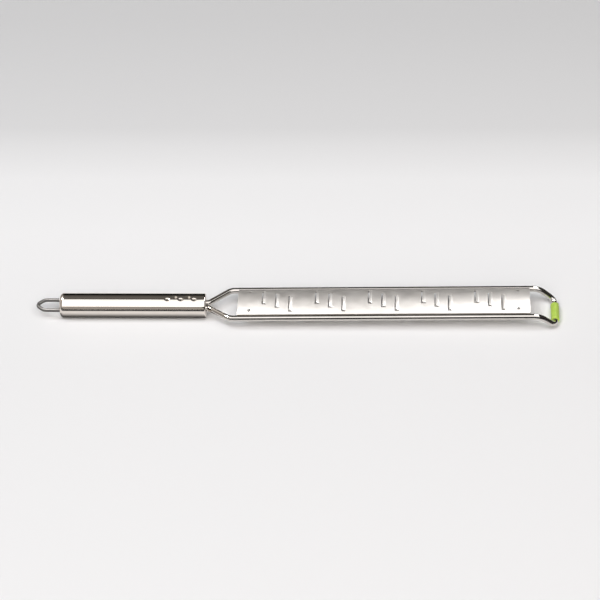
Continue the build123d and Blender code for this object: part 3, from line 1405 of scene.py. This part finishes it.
    def tongue_inputs(self) -> dict[str, Number]:
        """The named inputs that say where the tongues are."""
        s = self.sizes
        return {
            "First Window": s.field_start,
            "Groups": s.group_count,
            "Group Pitch": s.group_pitch,
            "Tongues In Group": s.tongues_in_group,
            "Tongue Pitch": s.tongue_pitch,
            "Stagger": s.tongue_stagger,
            "Window Width": s.window_width,
            "Window Length": s.window_length,
            "Window Gap": s.window_gap,
        }

    @staticmethod
    def in_window(tree: GeometryTree) -> tuple[Value, Value]:
        """Where a point lies in the window that it could belong to.

        Args:
            tree: the tree that the formulas go into.

        Returns:
            The distance from the window's handle end, and from its middle line.
        """
        x, y, _ = tree.position()
        from_first = x - tree.size("First Window")
        group = (from_first / tree.size("Group Pitch")).floor()
        group = group.at_least(0.0).at_most(tree.size("Groups") - 1.0)
        in_group = from_first - group * tree.size("Group Pitch")
        row = (in_group / tree.size("Tongue Pitch")).floor()
        row = row.at_least(0.0).at_most(tree.size("Tongues In Group") - 1.0)
        into = in_group - row * tree.size("Tongue Pitch")
        middle = ((tree.size("Tongues In Group") - 1.0) / 2.0 - row) * tree.size("Stagger")
        return into, (y - middle).size()

    def punch_tree(self) -> GeometryTree:
        """The tree that punches the slot round three sides of every tongue.

        Returns:
            The tree, ready to fit to the flat pattern.
        """
        tree = GeometryTree("punch_tongues", self.tongue_inputs())
        into, aside = self.in_window(tree)
        gap = tree.size("Window Gap")
        half = tree.size("Window Width") / 2.0
        window = (into > 0.0) * (into < tree.size("Window Length")) * (aside < half)
        slot = window * (into < gap).at_least(aside > half - gap)
        feeds = {"Geometry": tree.geometry, "Selection": slot > 0.5}
        cut = tree.add("GeometryNodeDeleteGeometry", feeds, domain="FACE", mode="ALL")
        tree.geometry = cut.outputs[0]
        tree.finish()
        return tree

    def bend_tree(self) -> GeometryTree:
        """The tree that raises and grinds the tongues and then arches the sheet.

        Returns:
            The tree, ready to fit to the punched sheet.
        """
        s = self.sizes
        sizes = self.tongue_inputs()
        sizes["Sheet Thickness"] = s.plate_thickness
        sizes["Arch Radius"] = s.plate_arch_radius
        sizes["Tongue Slope"] = math.radians(s.tongue_slope)
        sizes["Tongue Bend Radius"] = s.tongue_bend_radius
        sizes["Grind Length"] = s.grind_length
        sizes["Edge Break"] = self.edge_break
        tree = GeometryTree("bend_and_arch", sizes)
        x, y, z = tree.position()
        into, aside = self.in_window(tree)
        gap, length = tree.size("Window Gap"), tree.size("Window Length")
        half = tree.size("Window Width") / 2.0
        tongue = (into > gap / 2.0) * (into < length) * (aside < half - gap / 2.0)

        # The underside of the free edge is ground back to leave the cutting edge on top
        reach = length - into
        below_top = tree.size("Sheet Thickness") / 2.0 - z
        at_edge = reach > length - gap - tree.size("Edge Break") * self.free_edge_reach
        ground = tree.size("Grind Length") * below_top / tree.size("Sheet Thickness")
        flat = reach - at_edge * ground

        bend, slope = tree.size("Tongue Bend Radius"), tree.size("Tongue Slope")
        turn = (flat / bend).at_most(slope)
        beyond = (flat - bend * slope).at_least(0.0)
        swept = bend + below_top
        middle = tree.size("Arch Radius") + tree.size("Sheet Thickness") / 2.0 + bend
        tongue_x = x + reach - swept * turn.sine() - beyond * slope.cosine()
        tongue_radius = middle - swept * turn.cosine() + beyond * slope.sine()
        sheet_radius = tree.size("Arch Radius") + z
        new_x = x + tongue * (tongue_x - x)
        radius = sheet_radius + tongue * (tongue_radius - sheet_radius)
        around = y / tree.size("Arch Radius")
        tree.move_to(new_x, radius * around.sine(), radius * around.cosine())
        tree.finish()
        return tree


# Studio and camera


@dataclass(frozen=True)
class SoftLight:
    """A flat soft light that faces the grater.

    Angles are in degrees round the X axis: 0 is the table's near horizon, 90 straight
    up and 180 the far horizon.

    Attributes:
        name: the lamp's name.
        start: angle of its lower edge.
        end: angle of its upper edge.
        distance: of its middle from the grater, in metres.
        width: along X, in metres.
        aside: how far its middle stands along X, in metres.
        brightness: radiance of its face, where 1 is paper white.
        in_metal: whether the metal shows it.
        tint: its colour.
    """

    name: str
    start: float
    end: float
    distance: float
    width: float
    aside: float
    brightness: float
    in_metal: bool = False
    tint: Colour = (1.0, 1.0, 1.0)

    def hang(self) -> None:
        """Put the lamp in the scene, hidden from the camera."""
        middle = math.radians((self.start + self.end) / 2)
        half = math.radians((self.end - self.start) / 2)
        lamp = bpy.data.lights.new(self.name, "AREA")
        lamp.shape = "RECTANGLE"
        lamp.size = self.width
        lamp.size_y = 2 * self.distance * math.tan(half)
        lamp.energy = math.pi * lamp.size * lamp.size_y * self.brightness
        lamp.color = self.tint
        hung = bpy.data.objects.new(self.name, lamp)
        towards = Vector((0.0, -math.cos(middle), math.sin(middle)))
        hung.location = towards * self.distance + Vector((self.aside, 0.0, 0.0))
        hung.rotation_euler = towards.to_track_quat("Z", "Y").to_euler()
        hung.visible_camera = False
        hung.visible_glossy = self.in_metal
        bpy.context.scene.collection.objects.link(hung)


@dataclass(frozen=True)
class BounceCard:
    """A level card above the grater that only shows in the metal.

    Attributes:
        name: the card's name.
        near_left: X and Y of one corner, in metres.
        far_right: X and Y of the opposite corner, in metres.
        height: above the table, in metres.
        brightness: radiance of its face, where 1 is paper white.
    """

    name: str
    near_left: Pair
    far_right: Pair
    height: float
    brightness: float

    def hang(self) -> None:
        """Put the card in the scene, hidden from all but reflections."""
        made, bench = fresh_material(f"{self.name}_face")
        glow = bench.add("ShaderNodeEmission", {"Strength": self.brightness})
        bench.add("ShaderNodeOutputMaterial", {"Surface": glow.outputs[0]})
        card = level_sheet(self.name, self.near_left, self.far_right, self.height, made)
        only_in_reflections(card)


@dataclass(frozen=True)
class ShadeCard:
    """A black sheet over the table that only the metal shows: painted shade and shadow in what it
    reflects.

    Attributes:
        name: the sheet's name.
        left: X of its left edge, in metres.
        right: X of its right edge, in metres.
        stops: places along Y in metres, each with how much of the table it hides.
        height: above the table, in metres.
    """

    name: str
    left: float
    right: float
    stops: Stops
    height: float = 0.0002

    def hang(self) -> None:
        """Put the sheet of painted shade in the scene, hidden from all but reflections."""
        made, bench = fresh_material(f"{self.name}_cloth")
        hidden = grey_along(bench, self.stops)
        clear = bench.add("ShaderNodeBsdfTransparent").outputs[0]
        black = bench.add("ShaderNodeEmission", {"Strength": 0.0}).outputs[0]
        mix = bench.add("ShaderNodeMixShader", {0: hidden, 1: clear, 2: black})
        bench.add("ShaderNodeOutputMaterial", {"Surface": mix.outputs[0]})
        front, back = self.stops[0][0], self.stops[-1][0]
        shade_sheet = level_sheet(self.name, (self.left, front), (self.right, back), self.height, made)
        only_in_reflections(shade_sheet)


def placed(
    name: str, corners: list[Point], faces: Faces, cloth: bpy.types.Material
) -> bpy.types.Object:
    """Put a plain piece of the studio in the scene.

    Args:
        name: the piece's name.
        corners: its corners in metres.
        faces: the corners of each face.
        cloth: its material.

    Returns:
        The piece.
    """
    mesh = bpy.data.meshes.new(name)
    mesh.from_pydata(corners, [], faces)
    mesh.materials.append(cloth)
    made = bpy.data.objects.new(name, mesh)
    bpy.context.scene.collection.objects.link(made)
    return made


def level_sheet(
    name: str, near_left: Pair, far_right: Pair, height: float, cloth: bpy.types.Material
) -> bpy.types.Object:
    """Lay a level rectangle in the scene.

    Args:
        name: the sheet's name.
        near_left: X and Y of one corner, in metres.
        far_right: X and Y of the opposite corner, in metres.
        height: above the table, in metres.
        cloth: its material.

    Returns:
        The sheet.
    """
    (x0, y0), (x1, y1) = near_left, far_right
    corners = [(x, y, height) for x, y in ((x0, y0), (x1, y0), (x1, y1), (x0, y1))]
    return placed(name, corners, [(0, 1, 2, 3)], cloth)


def only_in_reflections(made: bpy.types.Object) -> None:
    """Hide an object from all but glossy rays."""
    made.visible_camera = False
    made.visible_diffuse = False
    made.visible_shadow = False
    made.visible_transmission = False


def grey_along(bench: NodeBench, stops: Stops) -> Socket:
    """A grey that changes along Y.

    Args:
        bench: the material's tree.
        stops: places along Y in metres, each with its grey.

    Returns:
        The ramp's colour.
    """
    place = bench.add("ShaderNodeTexCoord").outputs["Object"]
    front, back = stops[0][0], stops[-1][0]
    share = bench.rescaled(bench.split(place)[1], (front, back))
    return bench.ramp(share, [((y - front) / (back - front), (grey,) * 3) for y, grey in stops])


@dataclass
class Studio:
    """A pale table, soft lights overhead and a dark room behind them.

    Attributes:
        lights: the lamps, cards and sheets of painted shade round the grater.
        room_radius: height of the room and its depth to either side, in metres.
        room_half_width: half its length along X, in metres.
        room_steps: flat strips in its round wall.
        side_span: how far to a side, as a share of the radius, the side cloths start and
            are full.
        cloth_tint: colour of the cloths at full brightness.
        cloth_ahead: angles in degrees, each with the brightness of the middle cloth there.
        cloth_left: the same for the cloth on the left.
        cloth_right: the same for the cloth on the right.
        table_half: half side of the table, in metres.
        table_greys_and_shade: places along Y in metres, each with the paper's grey and its painted
            shade.
        sky_seen: radiance of the surround where it is looked at.
        sky_strength: radiance that it lights matt surfaces with.
    """

    lights: tuple[SoftLight | BounceCard | ShadeCard, ...] = (
        SoftLight("softbox", 28.0, 79.0, 3.6, 4.2, 0.15, 1.45, in_metal=True),
        SoftLight("softbox_fringe", 79.0, 95.0, 3.6, 4.2, 0.15, 1.25, in_metal=True),
        SoftLight("high_light", 74.0, 86.0, 3.4, 1.2, -1.9, 10.0, tint=(0.93, 1.0, 1.08)),
        SoftLight("key_light", 50.0, 70.0, 3.4, 4.2, 0.15, 3.5, tint=(1.0, 0.955, 0.95)),
        SoftLight("low_fill", 12.0, 48.0, 3.4, 4.2, 0.15, 1.2, tint=(1.0, 0.93, 0.86)),
        BounceCard("right_card", (0.275, 0.07), (0.49, 0.50), 0.65, 15.0),
        BounceCard("left_card", (-0.47, 0.05), (-0.32, 0.21), 0.65, 85.0),
        # Painted shade in the metal only: dark reflections of the table in front, and the handle's
        # contact shadow painted under it.
        ShadeCard(
            "front_painted_dark", -0.6, 0.6, ((-0.65, 0.0), (-0.60, 0.94), (-0.055, 0.94), (-0.045, 0.0))
        ),
        ShadeCard(
            "handle_painted_shadow",
            -0.190,
            -0.068,
            ((-0.022, 0.0), (-0.0175, 0.18), (-0.0135, 0.48), (-0.0105, 0.8), (-0.004, 0.97)),
        ),
        ShadeCard(
            "rail_painted_dark",
            -0.075,
            0.30,
            ((-0.42, 0.0), (-0.40, 0.95), (-0.038, 0.95), (-0.034, 0.0)),
            height=0.03,
        ),
    )
    room_radius: float = 7.0
    room_half_width: float = 7.0
    room_steps: int = 90
    side_span: Pair = (0.16, 0.30)
    cloth_tint: Colour = (1.0, 0.94, 0.87)
    cloth_ahead: Stops = (
        (0.0, 0.02), (2.0, 0.02), (5.0, 0.40), (24.0, 0.38), (97.0, 0.09),
        (115.0, 0.14), (144.0, 0.08), (148.0, 0.008), (180.0, 0.006),
    )
    cloth_left: Stops = (
        (0.0, 0.02), (7.0, 0.03), (9.0, 0.33), (24.0, 0.5), (80.0, 0.3),
        (97.0, 0.4), (124.0, 1.0), (148.0, 0.2), (180.0, 0.15),
    )
    cloth_right: Stops = ((0.0, 0.02), (24.0, 0.05), (97.0, 0.05), (180.0, 0.02))
    table_half: float = 8.0
    # Painted shade along Y: darker at the front, where the lamps are strongest, and greyer towards
    # the back, where the light falls off.
    table_greys_and_shade: Stops = (
        (-0.35, 0.80), (-0.05, 0.83), (0.10, 0.89), (0.17, 0.88),
        (0.215, 0.80), (0.24, 0.74), (0.40, 0.69),
    )
    sky_seen: float = 0.9
    sky_strength: float = 0.04

    def build(self) -> None:
        """Make the table, the lights, the room and the world."""
        self.make_table()
        for light in self.lights:
            light.hang()
        self.make_room()
        self.make_world()

    def make_table(self) -> None:
        """A matt sheet of paper with painted shade: darker at the front and greyer at the back."""
        made, bench = fresh_material("matt_paper")
        paper = bench.add("ShaderNodeBsdfDiffuse", {"Color": grey_along(bench, self.table_greys_and_shade)})
        bench.add("ShaderNodeOutputMaterial", {"Surface": paper.outputs[0]})
        half = self.table_half
        table = level_sheet("table", (-half, -half), (half, half), 0.0, made)

    def make_room(self) -> None:
        """Grey and black cloths round the table that only show in the metal."""
        made, bench = fresh_material("room_cloth")
        place = bench.add("ShaderNodeTexCoord").outputs["Object"]
        aside, depth, height = bench.split(place)
        angle = bench.calc("ARCTAN2", height, 0.0 - depth) * (1 / math.pi)
        seen = self.cloth(bench, angle, self.cloth_ahead)
        for stops, side in ((self.cloth_left, -1.0), (self.cloth_right, 1.0)):
            share = bench.rescaled(aside * (side / self.room_radius), self.side_span)
            seen = bench.mix(share, seen, self.cloth(bench, angle, stops))
        cloth = bench.add("ShaderNodeEmission", {"Color": seen, "Strength": 1.0})
        bench.add("ShaderNodeOutputMaterial", {"Surface": cloth.outputs[0]})
        steps = self.room_steps
        turns = [math.pi * step / steps for step in range(steps + 1)]
        r, w = self.room_radius, self.room_half_width
        corners = [(x, -r * math.cos(a), r * math.sin(a)) for x in (-w, w) for a in turns]
        count = len(turns)
        faces = [(i, i + 1, count + i + 1, count + i) for i in range(steps)]
        faces += [tuple(range(count)), tuple(range(2 * count - 1, count - 1, -1))]
        room = placed("dark_room", corners, faces, made)
        only_in_reflections(room)

    def cloth(self, bench: NodeBench, angle: Value, stops: Stops) -> Socket:
        """How bright the room's cloth is round the X axis.

        Args:
            bench: the cloth's tree.
            angle: from 0 at the near horizon to 1 at the far one.
            stops: angles in degrees, each with its grey.

        Returns:
            The cloth's slightly warm colour.
        """
        red, green, blue = self.cloth_tint
        warm = [(degrees / 180.0, (g * red, g * green, g * blue)) for degrees, g in stops]
        return bench.ramp(angle, warm)

    def make_world(self) -> None:
        """A pale surround that camera and metal see, and a weak fill for matt surfaces."""
        world = bpy.data.worlds.new("surround")
        bpy.context.scene.world = world
        world.use_nodes = True
        world.node_tree.nodes.clear()
        bench = NodeBench(world.node_tree)
        path = bench.add("ShaderNodeLightPath").outputs
        seen = bench.value(path["Is Camera Ray"])
        for ray in ("Is Glossy Ray", "Is Transmission Ray"):
            seen = seen.at_least(bench.value(path[ray]))
        strength = seen * (self.sky_seen - self.sky_strength) + self.sky_strength
        sky = bench.add("ShaderNodeBackground", {"Color": (1.0, 1.0, 1.0, 1.0)})
        bench.feed(sky.inputs["Strength"], strength)
        bench.add("ShaderNodeOutputWorld", {"Surface": sky.outputs[0]})


@dataclass
class PhotoCamera:
    """The camera where the photograph was taken from.

    Attributes:
        elevation: degrees above the table.
        yaw: degrees round the vertical.
        roll: degrees about the line of sight.
        lens: focal length in millimetres.
        sensor: width of the picture in the camera, in millimetres.
        distance: from the point that it looks at, in millimetres.
        looks_at: that point, in millimetres.
        clip: the nearest and the farthest that it sees, in metres.
    """

    elevation: float = 40.0
    yaw: float = 3.52
    roll: float = -2.11
    lens: float = 176.4
    sensor: float = 36.0
    distance: float = 2243.0
    looks_at: Point = (2.453, 0.0, 15.258)
    clip: Pair = (0.05, 50.0)

    def build(self) -> None:
        """Make the camera and look through it."""
        e, p, q = (math.radians(a) for a in (self.elevation, self.yaw, self.roll))
        right = Vector((math.cos(p), math.sin(p), 0.0))
        ahead = Vector((-math.sin(p) * math.cos(e), math.cos(p) * math.cos(e), -math.sin(e)))
        up = Vector((-math.sin(p) * math.sin(e), math.cos(p) * math.sin(e), math.cos(e)))
        rolled_right = right * math.cos(q) + up * math.sin(q)
        rolled_up = up * math.cos(q) - right * math.sin(q)
        stand = Matrix((rolled_right, rolled_up, -ahead)).transposed().to_4x4()
        stand.translation = (Vector(self.looks_at) - ahead * self.distance) * MM
        lens = bpy.data.cameras.new("photo_camera")
        lens.lens = self.lens
        lens.sensor_width = self.sensor
        lens.clip_start, lens.clip_end = self.clip
        camera = bpy.data.objects.new("photo_camera", lens)
        camera.matrix_world = stand
        bpy.context.scene.collection.objects.link(camera)
        bpy.context.scene.camera = camera


def main() -> None:
    """Build the grater and its studio, and report each piece."""
    logging.basicConfig(level=logging.INFO, format="%(name)s: %(message)s")
    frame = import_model()
    log.info("frame nodes: %s", ", ".join(sorted(frame["nodes"])))
    bpy.context.scene.view_settings.view_transform = "Standard"
    sizes = GraterSizes()
    for assembly in (Handle(sizes), WireFrame(sizes), GratingPlate(sizes)):
        assembly.build()
        log.info("%s done", type(assembly).__name__)
    Studio().build()
    PhotoCamera().build()


if __name__ == "__main__":
    main()
